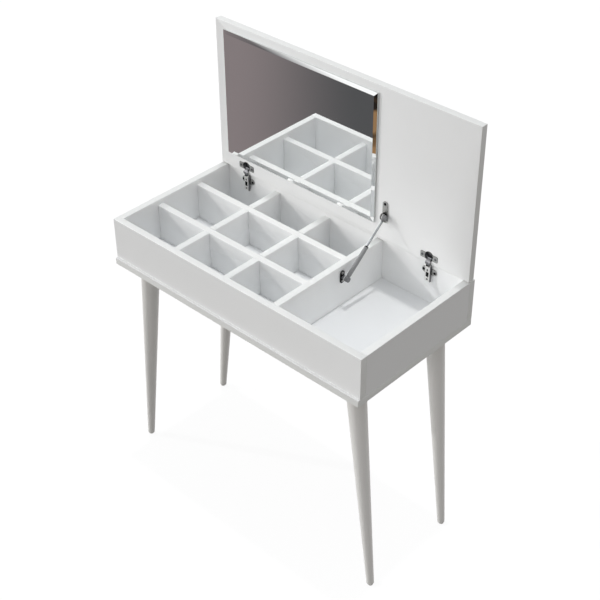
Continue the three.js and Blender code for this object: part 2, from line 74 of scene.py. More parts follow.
def shown(name, data):
    """A new object in the scene, for a camera, a lamp, a curve or a mesh."""
    thing = bpy.data.objects.new(name, data)
    bpy.context.scene.collection.objects.link(thing)
    return thing


back = Vector((math.sin(AZIMUTH) * math.cos(ELEVATION),
               -math.cos(AZIMUTH) * math.cos(ELEVATION),
               math.sin(ELEVATION)))
level = Vector((math.cos(AZIMUTH), math.sin(AZIMUTH), 0))
upright = back.cross(level)
camera_x = math.cos(ROLL) * level + math.sin(ROLL) * upright
camera_y = math.cos(ROLL) * upright - math.sin(ROLL) * level

camera_data = bpy.data.cameras.new("long_lens")
camera_data.lens = FOCAL_LENGTH
camera_data.sensor_width = FILM_WIDTH
camera = shown("camera", camera_data)
turn = Matrix((camera_x, camera_y, back)).transposed().to_4x4()
camera.matrix_world = Matrix.Translation(CAMERA_PLACE) @ turn
bpy.context.scene.camera = camera
print("camera at", tuple(round(v, 3) for v in CAMERA_PLACE))

# %% [markdown]
# ## Helpers for node graphs
# Every finish below is a small graph of nodes, and so is every modelling rule. One
# function adds a node, gives it its settings and joins its inputs. Inputs are picked by
# their identifier, which stays the same when a node shows several inputs of one name.
# Colours are written as screens and paint charts give them, and one function turns them
# into the linear values that light is reckoned in.

# %% Helpers
def linear(hex_colour):
    parts = [int(hex_colour[i:i + 2], 16) / 255 for i in (1, 3, 5)]
    return (*(c / 12.92 if c <= 0.04045 else ((c + 0.055) / 1.055) ** 2.4 for c in parts), 1)


def add(tree, kind, inputs=None, **settings):
    """Adds a node. An input takes a plain value, another node's socket, a node (its first
    output in use), or a list of those where several shapes go into one input."""
    node = tree.nodes.new(kind)
    for name, value in settings.items():
        setattr(node, name, value)
    for identifier, given in (inputs or {}).items():
        socket = next(s for s in node.inputs if s.identifier == identifier)
        for source in given if isinstance(given, list) else [given]:
            if isinstance(source, bpy.types.Node):
                source = next(output for output in source.outputs if output.enabled)
            if isinstance(source, bpy.types.NodeSocket):
                tree.links.new(source, socket)
            else:
                socket.default_value = source
    return node


def start_material(name):
    material = bpy.data.materials.new(name)
    material.use_nodes = True
    tree = material.node_tree
    tree.nodes.clear()
    return material, tree, add(tree, "ShaderNodeTexCoord").outputs["Object"]


def finish_material(material, shader):
    add(material.node_tree, "ShaderNodeOutputMaterial", {"Surface": shader})
    return material


print("#808080 is", round(linear("#808080")[0], 3), "in linear light")

# %% [markdown]
# ## Melamine-faced board
# Furniture board is chipboard pressed between sheets of paper soaked in melamine resin.
# The press plate leaves a fine pearl texture in the hard white resin, with a soft satin
# shine. The pearl is only hundredths of a millimetre high, so it is a bump. The narrow
# faces are covered with a plastic edge band, which is a little less white than the resin.
# Each board lies one of three ways, so the band is found by the way a face looks.

# %% White melamine, one material for each way a board lies
PEARL, PEARL_DEPTH = 1.6 * MM, 0.04 * MM
CLOUD = 60 * MM
BAND_FROM = 0.7  # cosine of the angle to the flat face from which a face is edge band


def white_melamine(lie, face_axis):
    material, tree, place = start_material("white_melamine_" + lie)
    cloud = add(tree, "ShaderNodeTexNoise", {"Vector": place, "Scale": 1 / CLOUD, "Detail": 3})
    resin = add(tree, "ShaderNodeMix", {"Factor_Float": cloud, "A_Color": linear("#F5F6F6"),
                                        "B_Color": linear("#F7F8F8")}, data_type="RGBA")
    facing = add(tree, "ShaderNodeSeparateXYZ",
                 {"Vector": add(tree, "ShaderNodeTexCoord").outputs["Normal"]})
    across = add(tree, "ShaderNodeMath", {"Value": facing.outputs[face_axis]}, operation="ABSOLUTE")
    banded = add(tree, "ShaderNodeMath", {"Value": across, "Value_001": BAND_FROM},
                 operation="LESS_THAN")
    tone = add(tree, "ShaderNodeMix", {"Factor_Float": banded, "A_Color": resin,
                                       "B_Color": linear("#EEEFED")}, data_type="RGBA")
    grain = add(tree, "ShaderNodeTexNoise", {"Vector": place, "Scale": 1 / PEARL, "Detail": 2})
    relief = add(tree, "ShaderNodeBump",
                 {"Height": grain, "Strength": 0.25, "Distance": PEARL_DEPTH})
    shine = add(tree, "ShaderNodeMapRange", {"Value": cloud, "To Min": 0.42, "To Max": 0.52})
    return finish_material(material, add(tree, "ShaderNodeBsdfPrincipled", {
        "Base Color": tone, "Roughness": shine, "IOR": 1.5, "Specular IOR Level": 0.35,
        "Normal": relief}))


melamine = {lie: white_melamine(lie, axis) for lie, axis in
            (("lying", "Z"), ("facing_front", "Y"), ("facing_side", "X"))}
print("finishes:", sorted(m.name for m in melamine.values()))

# %% [markdown]
# ## Lacquered legs
# The legs are turned from a pale hardwood and sprayed with white satin lacquer, glossier
# than the board. Under it the long grain still shows as very slight ridges that run down
# the leg, so the noise is stretched along the leg's length. Most finishes below start in
# the same way, so a function makes that start.

# %% White lacquer on turned wood
GRAIN_WIDTH, GRAIN_LENGTH = 2.5 * MM, 90 * MM


def grained(name, marks_size, detail, dark, light, strength, depth):
    """Starts a finish. One noise gives its tone, between two colours, and its relief. The
    size of the noise's marks is given along X, Y and Z."""
    material, tree, place = start_material(name)
    stretched = add(tree, "ShaderNodeMapping",
                    {"Vector": place, "Scale": tuple(1 / size for size in marks_size)})
    marks = add(tree, "ShaderNodeTexNoise", {"Vector": stretched, "Scale": 1, "Detail": detail})
    tone = add(tree, "ShaderNodeMix", {"Factor_Float": marks, "A_Color": linear(dark),
                                       "B_Color": linear(light)}, data_type="RGBA")
    relief = add(tree, "ShaderNodeBump", {"Height": marks, "Strength": strength, "Distance": depth})
    return material, tree, marks, tone, relief


def coated(name, dark, light, roughness, grain, depth, strength=0.4, coat=0.0,
           coat_roughness=0.15):
    material, tree, _, tone, relief = grained(name, grain, 3, dark, light, strength, depth)
    return finish_material(material, add(tree, "ShaderNodeBsdfPrincipled", {
        "Base Color": tone, "Roughness": roughness, "IOR": 1.5, "Coat Weight": coat,
        "Coat Roughness": coat_roughness, "Normal": relief}))


lacquer = coated("white_satin_lacquer_on_turned_wood", "#EBEAE7", "#EFEEEB", 0.38,
                 (GRAIN_WIDTH, GRAIN_WIDTH, GRAIN_LENGTH), 0.06 * MM, strength=0.2, coat=0.25,
                 coat_roughness=0.22)
print("finish:", lacquer.name)

# %% [markdown]
# ## Mirror glass
# A mirror is float glass with silver behind it. What one sees is nearly all silver, a
# little greened and dimmed by the glass in front, so the face is a metal with almost no
# roughness. The cut edge shows the green of the glass itself.

# %% Silvered glass and its polished edge
FLOAT_WAVE, EDGE_CLOUD = 140 * MM, 12 * MM


def silvered_glass():
    material, tree, place = start_material("silvered_float_glass")
    waver = add(tree, "ShaderNodeTexNoise", {"Vector": place, "Scale": 1 / FLOAT_WAVE, "Detail": 1})
    relief = add(tree, "ShaderNodeBump", {"Height": waver, "Strength": 0.1, "Distance": 0.02 * MM})
    return finish_material(material, add(tree, "ShaderNodeBsdfPrincipled", {
        "Base Color": linear("#F8F9F9"), "Metallic": 1.0, "Roughness": 0.015, "Normal": relief}))


def polished_glass_edge():
    material, tree, place = start_material("polished_float_glass_edge")
    depth = add(tree, "ShaderNodeTexNoise", {"Vector": place, "Scale": 1 / EDGE_CLOUD, "Detail": 2})
    tone = add(tree, "ShaderNodeMix", {"Factor_Float": depth, "A_Color": linear("#D3D8D6"),
                                       "B_Color": linear("#E2E5E3")}, data_type="RGBA")
    return finish_material(material, add(tree, "ShaderNodeBsdfPrincipled", {
        "Base Color": tone, "Roughness": 0.08, "IOR": 1.52}))


mirror_face = silvered_glass()
mirror_edge = polished_glass_edge()
print("finishes:", mirror_face.name, mirror_edge.name)

# %% [markdown]
# ## Plated steel
# The hinges and brackets are pressed from steel strip and plated with nickel. Rolling
# leaves hair-fine lines in the strip that plating does not hide, so the roughness is
# streaked. Bolts and studs are zinc plated, which is greyer and cloudier. The piston rod
# is ground and plated with hard chromium, which is smoother. Wherever something stands
# close to the steel, its colour is painted darker: painted shade in hollows, creases and
# between parts. Two copies of the nickel are painted lighter and darker, for lit faces
# and for shaded sides, bowls and links.

# %% Metals
PAINTED_SHADE_REACH = 5 * MM
DARK_FROM, UNSHADED_FROM, TONE_IN_PAINTED_SHADE = 0.35, 0.85, 0.12
ROUGHNESS_SPREAD = 0.06


def plated_steel(name, dark, light, roughness, streak):
    material, tree, marks, tone, relief = grained(name, streak, 4, dark, light, 0.15, 0.02 * MM)
    # Painted shade: the colour darkens to near black wherever something stands within a few
    # millimetres of the steel.
    openness = add(tree, "ShaderNodeAmbientOcclusion", {"Distance": PAINTED_SHADE_REACH}, samples=6)
    clean = add(tree, "ShaderNodeMapRange", {
        "Value": openness.outputs["AO"], "From Min": DARK_FROM, "From Max": UNSHADED_FROM,
        "To Min": TONE_IN_PAINTED_SHADE, "To Max": 1})
    painted_shade_tone = add(tree, "ShaderNodeMix", {"Factor_Float": clean, "A_Color": linear("#141415"),
                                       "B_Color": tone}, data_type="RGBA")
    shine = add(tree, "ShaderNodeMapRange", {
        "Value": marks, "To Min": roughness - ROUGHNESS_SPREAD,
        "To Max": roughness + ROUGHNESS_SPREAD})
    return finish_material(material, add(tree, "ShaderNodeBsdfPrincipled", {
        "Base Color": painted_shade_tone, "Metallic": 1.0, "Roughness": shine, "Normal": relief}))


STRIP_LINES = (6 * MM, 6 * MM, 0.5 * MM)
ROD_LINES = (4 * MM, 0.4 * MM, 0.4 * MM)
nickel = plated_steel("nickel_plated_pressed_steel", "#AAAAA8", "#BEBDBB", 0.34, STRIP_LINES)
# Painted light and shade: two copies of the nickel, one painted lighter for lit faces and clips,
# one painted darker for shaded sides, bowls, links and cup screws.
nickel_painted_lit = plated_steel("bright_nickel_plated_face", "#E2E1DE", "#F0EFED", 0.42, STRIP_LINES)
nickel_painted_shade = plated_steel("dull_nickel_plated_side", "#77777A", "#8A8A8C", 0.4, STRIP_LINES)
zinc = plated_steel("zinc_plated_steel", "#8F9296", "#AEB1B4", 0.42, (3 * MM,) * 3)
chromium = plated_steel("hard_chromium_ground_rod", "#8B8E91", "#A3A6A8", 0.3, ROD_LINES)
black_oxide = plated_steel("black_oxide_steel", "#1C1C1E", "#2A2A2C", 0.45, (2 * MM,) * 3)
print("metals:", nickel.name, zinc.name, chromium.name, black_oxide.name)

# %% [markdown]
# ## Painted and moulded parts
# The strut's tube is sprayed with grey satin paint, which sets with a slight orange peel.
# Sockets and glides are nylon from spark-eroded moulds, with a dull, finely grained skin.
# The mirror's mounting tape is open-celled foam.

# %% Paint, nylon and foam
MOULD_GRAIN = (0.5 * MM,) * 3
grey_paint = coated("grey_satin_tube_paint", "#7E7F80", "#8A8B8C", 0.4, (1.2 * MM,) * 3,
                    0.03 * MM, coat=0.5)
grey_nylon = coated("grey_moulded_nylon", "#6E6F71", "#7C7D7F", 0.45, MOULD_GRAIN, 0.03 * MM)
white_nylon = coated("white_moulded_nylon", "#D5D5D0", "#DEDEDA", 0.5, MOULD_GRAIN, 0.03 * MM)
foam = coated("white_mounting_foam", "#D2D2CE", "#E0E0DC", 0.95, (0.8 * MM,) * 3, 0.2 * MM)
print("finishes:", grey_paint.name, grey_nylon.name, white_nylon.name, foam.name)

# %% [markdown]
# ## Who gets which finish
# The record names a slot for every solid, so one table from slot to material dresses
# them all. Boards take the melamine of the way they lie.

# %% Dress the solids
SLOT_MATERIALS = {
    "white_lacquer": lacquer, "silvered_glass": mirror_face, "foam_tape": foam,
    "nickel_steel": nickel, "zinc_steel": zinc, "grey_paint": grey_paint,
    "hard_chromium": chromium, "grey_nylon": grey_nylon, "white_nylon": white_nylon,
}


def board_lie(node):
    low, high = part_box(node)
    sizes = list(high - low)
    return ("facing_side", "facing_front", "lying")[sizes.index(min(sizes))]


def dress(thing, *materials):
    thing.data.materials.clear()
    for material in materials:
        thing.data.materials.append(material)


node_slot = {part["node"]: part["material_slot"] for part in frame["record"]["subparts"]}
node_body = {node: body for body, nodes in frame["record"]["behaviour"]["bodies"].items()
             for node in nodes}
for name, solid in frame["nodes"].items():
    slot = node_slot[name]
    dress(solid, melamine[board_lie(name)] if slot == "white_melamine" else SLOT_MATERIALS[slot])
print("dressed", len(node_slot), "solids")

# %% [markdown]
# ## Shapes that follow a rule
# A geometry node tree is a rule that makes a shape from a few sizes. Change a size and
# the shape follows. Each rule below has its sizes as named inputs and is used through
# one function, which runs it once and keeps the plain mesh that comes out.

# %% Helpers for rules
AXIS_HOLE = 0.01 * MM


def start_rule(name, lengths, numbers=()):
    """An empty rule with an input for each length and whole number, and for a material."""
    tree = bpy.data.node_groups.new(name, "GeometryNodeTree")
    tree.interface.new_socket("Shape", in_out="OUTPUT", socket_type="NodeSocketGeometry")
    for label in ("Start", *lengths, *numbers, "Material"):
        kind = {"Start": "Geometry", "Material": "Material"}.get(
            label, "Float" if label in lengths else "Int")
        tree.interface.new_socket(label, in_out="INPUT", socket_type="NodeSocket" + kind)
    return tree, tree.nodes.new("NodeGroupInput").outputs


def named_inputs(rule):
    return [item for item in rule.interface.items_tree if item.in_out == "INPUT"]


def finish_rule(tree, shape, given):
    real = add(tree, "GeometryNodeRealizeInstances", {"Geometry": shape})
    done = add(tree, "GeometryNodeSetMaterial", {"Geometry": real, "Material": given["Material"]})
    tree.links.new(done.outputs[0], tree.nodes.new("NodeGroupOutput").inputs["Shape"])
    print(tree.name, "follows from", [item.name for item in named_inputs(tree)])
    return tree


def held(mesh, kind, **settings):
    """An object for a mesh, with one modifier on it."""
    holder = shown("holder", mesh)
    modifier = holder.modifiers.new("rule", kind)
    for name, value in settings.items():
        setattr(modifier, name, value)
    return holder, modifier


def released(holder):
    """The plain mesh that comes out of the modifier."""
    made = holder.evaluated_get(bpy.context.evaluated_depsgraph_get())
    mesh = bpy.data.meshes.new_from_object(made)
    bpy.data.objects.remove(holder)
    return mesh


def shaped(rule, sizes, start=None):
    """Follows a rule and returns the plain mesh that it makes."""
    holder, modifier = held(start or bpy.data.meshes.new("nothing"), "NODES", node_group=rule)
    for item in named_inputs(rule):
        if item.name in sizes:
            modifier[item.identifier] = sizes[item.name]
    return released(holder)


def lathe(tree, outline, roundings, facets, faces_round):
    """Draws half an outline of four (radius, height) corners, from the axis and back to it,
    rounds the second and third, carries it round the Z axis and closes it there."""
    corners = {"Point %d" % number: add(tree, "ShaderNodeCombineXYZ", {"X": radius, "Y": height})
               for number, (radius, height) in enumerate(outline, 1)}
    drawn = add(tree, "GeometryNodeCurvePrimitiveQuadrilateral", corners, mode="POINTS")
    half = add(tree, "GeometryNodeSetSplineCyclic", {"Geometry": drawn, "Cyclic": False})
    order = add(tree, "GeometryNodeInputIndex")
    rounding = 0.0
    for index, size in enumerate(roundings, 1):
        here = add(tree, "ShaderNodeMath", {"Value": order, "Value_001": index, "Value_002": 0.5},
                   operation="COMPARE")
        rounding = add(tree, "ShaderNodeMath", {"Value": here, "Value_001": size,
                                                "Value_002": rounding}, operation="MULTIPLY_ADD")
    eased_half = add(tree, "GeometryNodeFilletCurve",
                     {"Curve": half, "Count": facets, "Radius": rounding}, mode="POLY")
    circle = add(tree, "GeometryNodeCurvePrimitiveCircle",
                 {"Resolution": faces_round, "Radius": AXIS_HOLE})
    swept = add(tree, "GeometryNodeCurveToMesh", {"Curve": circle, "Profile Curve": eased_half})
    whole = add(tree, "GeometryNodeMergeByDistance", {"Geometry": swept, "Distance": 3 * AXIS_HOLE})
    return add(tree, "GeometryNodeTransform", {"Geometry": whole, "Rotation": (math.pi, 0, 0)})


# %% Helpers for meshes and pieces
def mesh_of(name, points, faces):
    mesh = bpy.data.meshes.new(name)
    mesh.from_pydata(points, [], faces)
    return mesh


def bands(rings):
    """The faces that join each ring of points to the next. A pole is one point repeated."""
    return [tuple(dict.fromkeys((low[i], low[j], high[j], high[i])))
            for low, high in zip(rings, rings[1:])
            for i, j in zip(range(len(low)), [*range(1, len(low)), 0])]


def smooth(mesh, sharp_degrees=35):
    mesh.shade_smooth()
    mesh.set_sharp_from_angle(angle=math.radians(sharp_degrees))
    return mesh


def piece(name, mesh, body):
    mesh.name = name
    thing = shown(name, mesh)
    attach(thing, body)
    return thing


def stand_in(name, mesh, node, *finishes):
    """A piece in a solid's place: it rides on the solid's body, hides the solid and takes the
    finishes given.
    """
    thing = piece(name, mesh, node_body[node])
    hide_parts(node)
    dress(thing, *finishes)


def laid_along(start, direction):
    """Moves a shape made upright on the origin to start, and turns it along direction."""
    turned = Vector(direction).to_track_quat("Z", "Y").to_matrix().to_4x4()
    return Matrix.Translation(start) @ turned


print("hole that a turned shape closes on its axis:", 2 * AXIS_HOLE / MM, "mm")

# %% [markdown]
# ## Turned legs
# A leg is cut on a lathe, so its shape is one outline carried round an axis: a straight
# taper, a small rounding at the foot and a broken edge at the top. The solids have flat
# facets round the leg. Here the rule draws half the outline, rounds two corners and carries
# it round a circle, which gives a leg that stays smooth in a close view.

# %% The rule for a turned leg
LEG_FACES_ROUND, LEG_EDGE_FACETS = 96, 6


def turned_rule():
    tree, given = start_rule("turned_leg", (
        "Foot radius", "Top radius", "Foot height", "Top height", "Foot rounding", "Top rounding"))
    outline = ((0.0, given["Foot height"]), (given["Foot radius"], given["Foot height"]),
               (given["Top radius"], given["Top height"]), (0.0, given["Top height"]))
    roundings = given["Foot rounding"], given["Top rounding"]
    leg = lathe(tree, outline, roundings, LEG_EDGE_FACETS, LEG_FACES_ROUND)
    return finish_rule(tree, leg, given)


leg_rule = turned_rule()

# %% Four legs, each from its foot to its plate under the table
CORNERS = ("front_left", "front_right", "rear_left", "rear_right")
LEG_TOP_RADIUS, LEG_FOOT_RADIUS = 24 * MM, 9.4 * MM
FOOT_ROUNDING, TOP_ROUNDING = 2.5 * MM, 1.0 * MM
GLIDE_HEIGHT = 3.5 * MM
BOSS_DROP = 13.3 * MM

feet = {mount["name"]: Vector(mount["pos_m"]) for mount in frame["record"]["mounts"]}
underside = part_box("bottom_panel")[0].z


def middle(node):
    low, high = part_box(node)
    return (low + high) / 2


for corner in CORNERS:
    foot = feet[corner + "_foot"]
    top = middle(corner + "_leg_plate")
    top.z = underside
    length = (top - foot).length
    mesh = shaped(leg_rule, {
        "Foot radius": LEG_FOOT_RADIUS, "Top radius": LEG_TOP_RADIUS, "Foot height": GLIDE_HEIGHT,
        "Top height": length - BOSS_DROP, "Foot rounding": FOOT_ROUNDING,
        "Top rounding": TOP_ROUNDING, "Material": lacquer})
    mesh.transform(laid_along(foot, top - foot))
    stand_in(corner + "_turned_leg", smooth(mesh), corner + "_leg", lacquer)
    print(corner, "leg", round(length / MM, 1), "mm long,", len(mesh.polygons), "faces")

# %% [markdown]
# ## Pressed and moulded fittings
# The solids of the hinges and the strut have sharp edges. Pressed steel and moulded nylon
# have small rounded ones, which catch the light. So each fitting is a copy of its solid
# with its doubles merged, its flat faces joined again and its edges rounded. Parts of some
# are painted as light and shade: the bowl of a cup is painted darker and the rim of its
# flange black as painted shade, and the sides of an arm are painted darker than its face,
# which is painted lighter. The place and the direction of a face tell which part it belongs to.

# %% Copy a solid, round its edges, cut into it
SAME_PLACE = 0.001 * MM
FLAT_WITHIN, SHARP_FROM = math.radians(0.5), math.radians(40)


def whole_copy(node):
    """A copy of a solid with its doubles merged and its flat faces joined."""
    solid = frame["nodes"][node]
    mesh = solid.data.copy()
    mesh.transform(solid.matrix_world)
    work = bmesh.new()
    work.from_mesh(mesh)
    bmesh.ops.remove_doubles(work, verts=work.verts, dist=SAME_PLACE)
    bmesh.ops.dissolve_limit(work, verts=work.verts, edges=work.edges, angle_limit=FLAT_WITHIN)
    work.to_mesh(mesh)
    work.free()
    return mesh


def eased(mesh, radius):
    """Rounds the edges in two facets. Flat faces stay flat to the light."""
    holder, _ = held(mesh, "BEVEL", width=radius, segments=2, limit_method="ANGLE",
                     angle_limit=SHARP_FROM, use_clamp_overlap=True)
    return smooth(released(holder), sharp_degrees=20)


def carved(mesh, operation, *others):
    """Unites closed meshes with a closed mesh, or cuts them out of it."""
    for other in others:
        tool = shown("tool", other)
        holder, _ = held(mesh, "BOOLEAN", operation=operation, solver="EXACT", object=tool)
        mesh = released(holder)
        bpy.data.objects.remove(tool)
    return mesh


def block(low, high):
    """A closed box, to cut with."""
    corners = list(itertools.product((low.x, high.x), (low.y, high.y), (low.z, high.z)))
    return mesh_of("block", corners, [(0, 1, 3, 2), (4, 6, 7, 5), (0, 4, 5, 1), (2, 3, 7, 6),
                                      (0, 2, 6, 4), (1, 5, 7, 3)])


def soften(node, radius, *finishes, which=None, window=None):
    """Puts a rounded copy in a solid's place, with a window cut through it if given.
    The function which says, from a face's middle and direction, the number of its finish."""
    solid = whole_copy(node)
    rounded = eased(carved(solid, "DIFFERENCE", window) if window else solid, radius)
    stand_in(node + "_softened", rounded, node, *finishes)
    for face in rounded.polygons:
        face.material_index = which(face.center, face.normal) if which else 0


print("bodies:", sorted(set(node_body.values())))

# %% Soften the fittings
PRESSED_EDGE, BRACKET_EDGE, MOULDED_EDGE, BALL_EDGE = 0.3 * MM, 0.4 * MM, 0.6 * MM, 0.2 * MM
FLANGE_FRONT = 1.4 * MM
WINDOW_HEIGHT = 21 * MM
WINDOW_SIZE = Vector((8 * MM, 6 * MM, 13 * MM))
SIDEWAYS, FORWARDS = 0.8, -0.9


# Painted light and shade: an arm's face takes the lighter copy of the nickel, its sides the darker.
def arm_side_painted_shade(_, normal):
    return int(abs(normal.x) > SIDEWAYS)


for side in ("left", "right"):
    cup_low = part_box(side + "_hinge_cup")[0].y

    # Painted shade: the bowl of the cup takes the darker nickel, and the rim of its flange black
    # steel.
    def cup_bowl_or_rim_painted_shade(centre, normal):
        return 1 if centre.y > cup_low + FLANGE_FRONT else 2 if normal.y > FORWARDS else 0

    soften(side + "_hinge_cup", PRESSED_EDGE, nickel, nickel_painted_shade, black_oxide, which=cup_bowl_or_rim_painted_shade)
    arm_low, arm_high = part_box(side + "_hinge_arm")
    window_centre = Vector(((arm_low.x + arm_high.x) / 2, arm_low.y, arm_low.z + WINDOW_HEIGHT))
    window = block(window_centre - WINDOW_SIZE / 2, window_centre + WINDOW_SIZE / 2)
    soften(side + "_hinge_arm", PRESSED_EDGE, nickel_painted_lit, nickel_painted_shade, which=arm_side_painted_shade,
           window=window)
    soften(side + "_hinge_plate", PRESSED_EDGE, nickel)
soften("strut_wall_bracket", BRACKET_EDGE, black_oxide)
soften("strut_lid_bracket", BRACKET_EDGE, nickel)
for node in ("strut_bottom_socket", "strut_top_socket"):
    soften(node, MOULDED_EDGE, grey_nylon)
for node in ("strut_bottom_stud", "strut_top_stud"):
    soften(node, BALL_EDGE, zinc)

# %% [markdown]
# ## Hinge links
# The link that joins arm and cup is pressed from strip, with a rolled eye at each end. It
# bows out so that it clears the lid's lower edge. It is as wide as the arm where it is
# free, and narrower where it runs between the arm's cheeks and into the cup. It is one
# closed mesh: a strap made ring by ring along its bow, united with two turned eyes.

# %% Press the links
FACES_ROUND = 48
LINK_STEPS = 24
LINK_NARROW, LINK_WIDE = 5.1 * MM, 7.2 * MM
STRAP_HALF_THICKNESS, STRAP_CHAMFER = 0.8 * MM, 0.3 * MM
STRIP_CORNERS = 8
BOW_PULL = Vector((0, -15 * MM, 14 * MM))
WIDE_MIDDLE, WIDE_REACH, WIDENING = 0.53, 0.35, 0.25
EYE_OUTLINE = ((0, -5.2), (1.9, -5.2), (2.3, -4.8), (2.3, 4.8), (1.9, 5.2), (0, 5.2))


def revolved(name, outline):
    """A closed body from half an outline in millimetres: (radius, height) from axis to axis."""
    turns = [math.tau * i / FACES_ROUND for i in range(FACES_ROUND)]
    points, rings = [], []
    for radius, height in outline:
        around = turns if radius else turns[:1]
        rings.append([len(points) + i for i in range(len(around))] * (FACES_ROUND // len(around)))
        points += [(radius * MM * math.cos(turn), radius * MM * math.sin(turn), height * MM)
                   for turn in around]
    return mesh_of(name, points, bands(rings))


def strap_ring(centre, normal, half_width):
    """The outline of the strip, with its corners taken off."""
    corners = []
    for x, y in ((1, 1), (-1, 1), (-1, -1), (1, -1)):
        two_points = [centre + Vector((x * (half_width - cut_x), 0, 0))
                      + normal * y * (STRAP_HALF_THICKNESS - cut_y)
                      for cut_x, cut_y in ((STRAP_CHAMFER, 0), (0, STRAP_CHAMFER))]
        corners += two_points if x * y < 0 else two_points[::-1]
    return corners


def bowed_strap(start, end):
    points = []
    for step in range(LINK_STEPS + 1):
        t = step / LINK_STEPS
        pull = start + BOW_PULL
        centre = start * (1 - t) ** 2 + pull * 2 * t * (1 - t) + end * t ** 2
        along = ((pull - start) * (1 - t) + (end - pull) * t).normalized()
        normal = Vector((0, along.z, -along.y))
        free = min(max((WIDE_REACH - abs(t - WIDE_MIDDLE)) / WIDENING, 0), 1)
        points += strap_ring(centre, normal, LINK_NARROW + (LINK_WIDE - LINK_NARROW) * free)
    rings = [range(i, i + STRIP_CORNERS) for i in range(0, len(points), STRIP_CORNERS)]
    return mesh_of("strap", points, [*bands(rings), rings[0][::-1], rings[-1]])


joints = {joint["name"]: joint for joint in frame["record"]["behaviour"]["joints"]}
link_start = Vector(joints["left_link_turn"]["pos_m"])
link_end = Vector(joints["lid_turn"]["pos_m"])
for side in ("left", "right"):
    shift = middle(side + "_hinge_link").x - link_start.x
    ends = [place + Vector((shift, 0, 0)) for place in (link_start, link_end)]
    eyes = [revolved("eye", EYE_OUTLINE) for _ in ends]
    for eye, place in zip(eyes, ends):
        eye.transform(laid_along(place, (1, 0, 0)))
    link_mesh = smooth(carved(bowed_strap(*ends), "UNION", *eyes), sharp_degrees=40)
    node = side + "_hinge_link"
    # Painted shade: the link takes the darker copy of the nickel, for the shade inside the cup.
    stand_in(node + "_pressed", link_mesh, node, nickel_painted_shade)
print("links:", len(link_mesh.polygons), "faces each")

# %% [markdown]
# ## Boards with eased edges
# A sawn and banded board never has a razor edge: the band is scraped to a radius of a
# third of a millimetre, which draws a fine soft line along every edge. The solids also
# keep a hair of air between boards so that they count as separate pieces. Here the end
# faces grow over that gap, as glue would close it, and the outside of the box stays where
# it is. A Bevel modifier would also round the edges that are hidden in a joint, and every
# seam would become a dark groove. So only an edge that lies along no other board is rounded.

# %% Ease the boards
BOARD_EDGE = 0.35 * MM
JOINT_GAP = 0.3 * MM
BOARD_THICKNESS = 18 * MM
SAMPLES_PER_EDGE = 9
AT_THE_END = 0.01 * MM

boards = [node for node, slot in node_slot.items() if slot == "white_melamine"]
box_boards = [node for node in boards if node_body[node] == "root"]
board_box = {node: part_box(node) for node in boards}
box_low = Vector(min(board_box[node][0][i] for node in box_boards) for i in range(3))
box_high = Vector(max(board_box[node][1][i] for node in box_boards) for i in range(3))


def touches(place, node):
    """Whether a place lies on a board or in the joint round it."""
    low, high = board_box[node]
    return all(low[i] - 2 * JOINT_GAP < place[i] < high[i] + 2 * JOINT_GAP for i in range(3))


def lies_free(edge, node):
    """Whether a sharp edge runs for more than half of its length along no other board."""
    if edge.calc_face_angle(0) < SHARP_FROM:
        return False
    start, end = (vertex.co for vertex in edge.verts)
    places = [start.lerp(end, (i + 0.5) / SAMPLES_PER_EDGE) for i in range(SAMPLES_PER_EDGE)]
    others = [other for other in box_boards if other != node and node in box_boards]
    return sum(any(touches(place, other) for other in others) for place in places) < len(places) / 2


def board_mesh(node):
    mesh = whole_copy(node)
    low, high = board_box[node]
    for axis in range(3):
        if node in box_boards and high[axis] - low[axis] > BOARD_THICKNESS + 2 * JOINT_GAP:
            for vertex in mesh.vertices:
                if vertex.co[axis] - low[axis] < AT_THE_END:
                    vertex.co[axis] = max(low[axis] - JOINT_GAP, box_low[axis])
                elif high[axis] - vertex.co[axis] < AT_THE_END:
                    vertex.co[axis] = min(high[axis] + JOINT_GAP, box_high[axis])
    work = bmesh.new()
    work.from_mesh(mesh)
    bmesh.ops.bevel(work, geom=[edge for edge in work.edges if lies_free(edge, node)],
                    offset=BOARD_EDGE, offset_type="OFFSET", segments=2, profile=0.5,
                    affect="EDGES", clamp_overlap=True)
    work.to_mesh(mesh)
    work.free()
    return smooth(mesh, sharp_degrees=20)


for node in boards:
    stand_in(node + "_eased", board_mesh(node), node, melamine[board_lie(node)])
print("eased boards:", len(boards), "box", tuple(box_low), tuple(box_high))

# %% [markdown]
# ## Strut tube, rod and clips
# The tube is a drawn steel tube, closed by a seal that a rolled groove holds in its open
# end. It is turned from its half outline, hollow like the real one, so that the rod runs
# inside it. A bent wire clip goes round each end socket and keeps the ball in.

# %% Turn the tube and the rod
SOCKET_REACH = 9.3 * MM
SEAL_START = 76 * MM
TUBE_OUTLINE = (
    (0, 0), (3.9, 0), (4.7, 0.4), (5.1, 1.2), (5.1, 71), (4.7, 71.6), (4.6, 72.2), (4.7, 72.8),
    (5.1, 73.4), (5.1, 77.6), (4.8, 79.4), (4.2, 80.2), (2.7, 80.2), (2.7, 72.4), (4.2, 72.4),
    (4.2, 1.2), (0, 1.2))
ROD_OUTLINE = ((0, 0), (2.3, 0), (2.6, 0.3), (2.6, 78.1), (2.3, 78.4), (0, 78.4))
ROD_REACH = 87 * MM

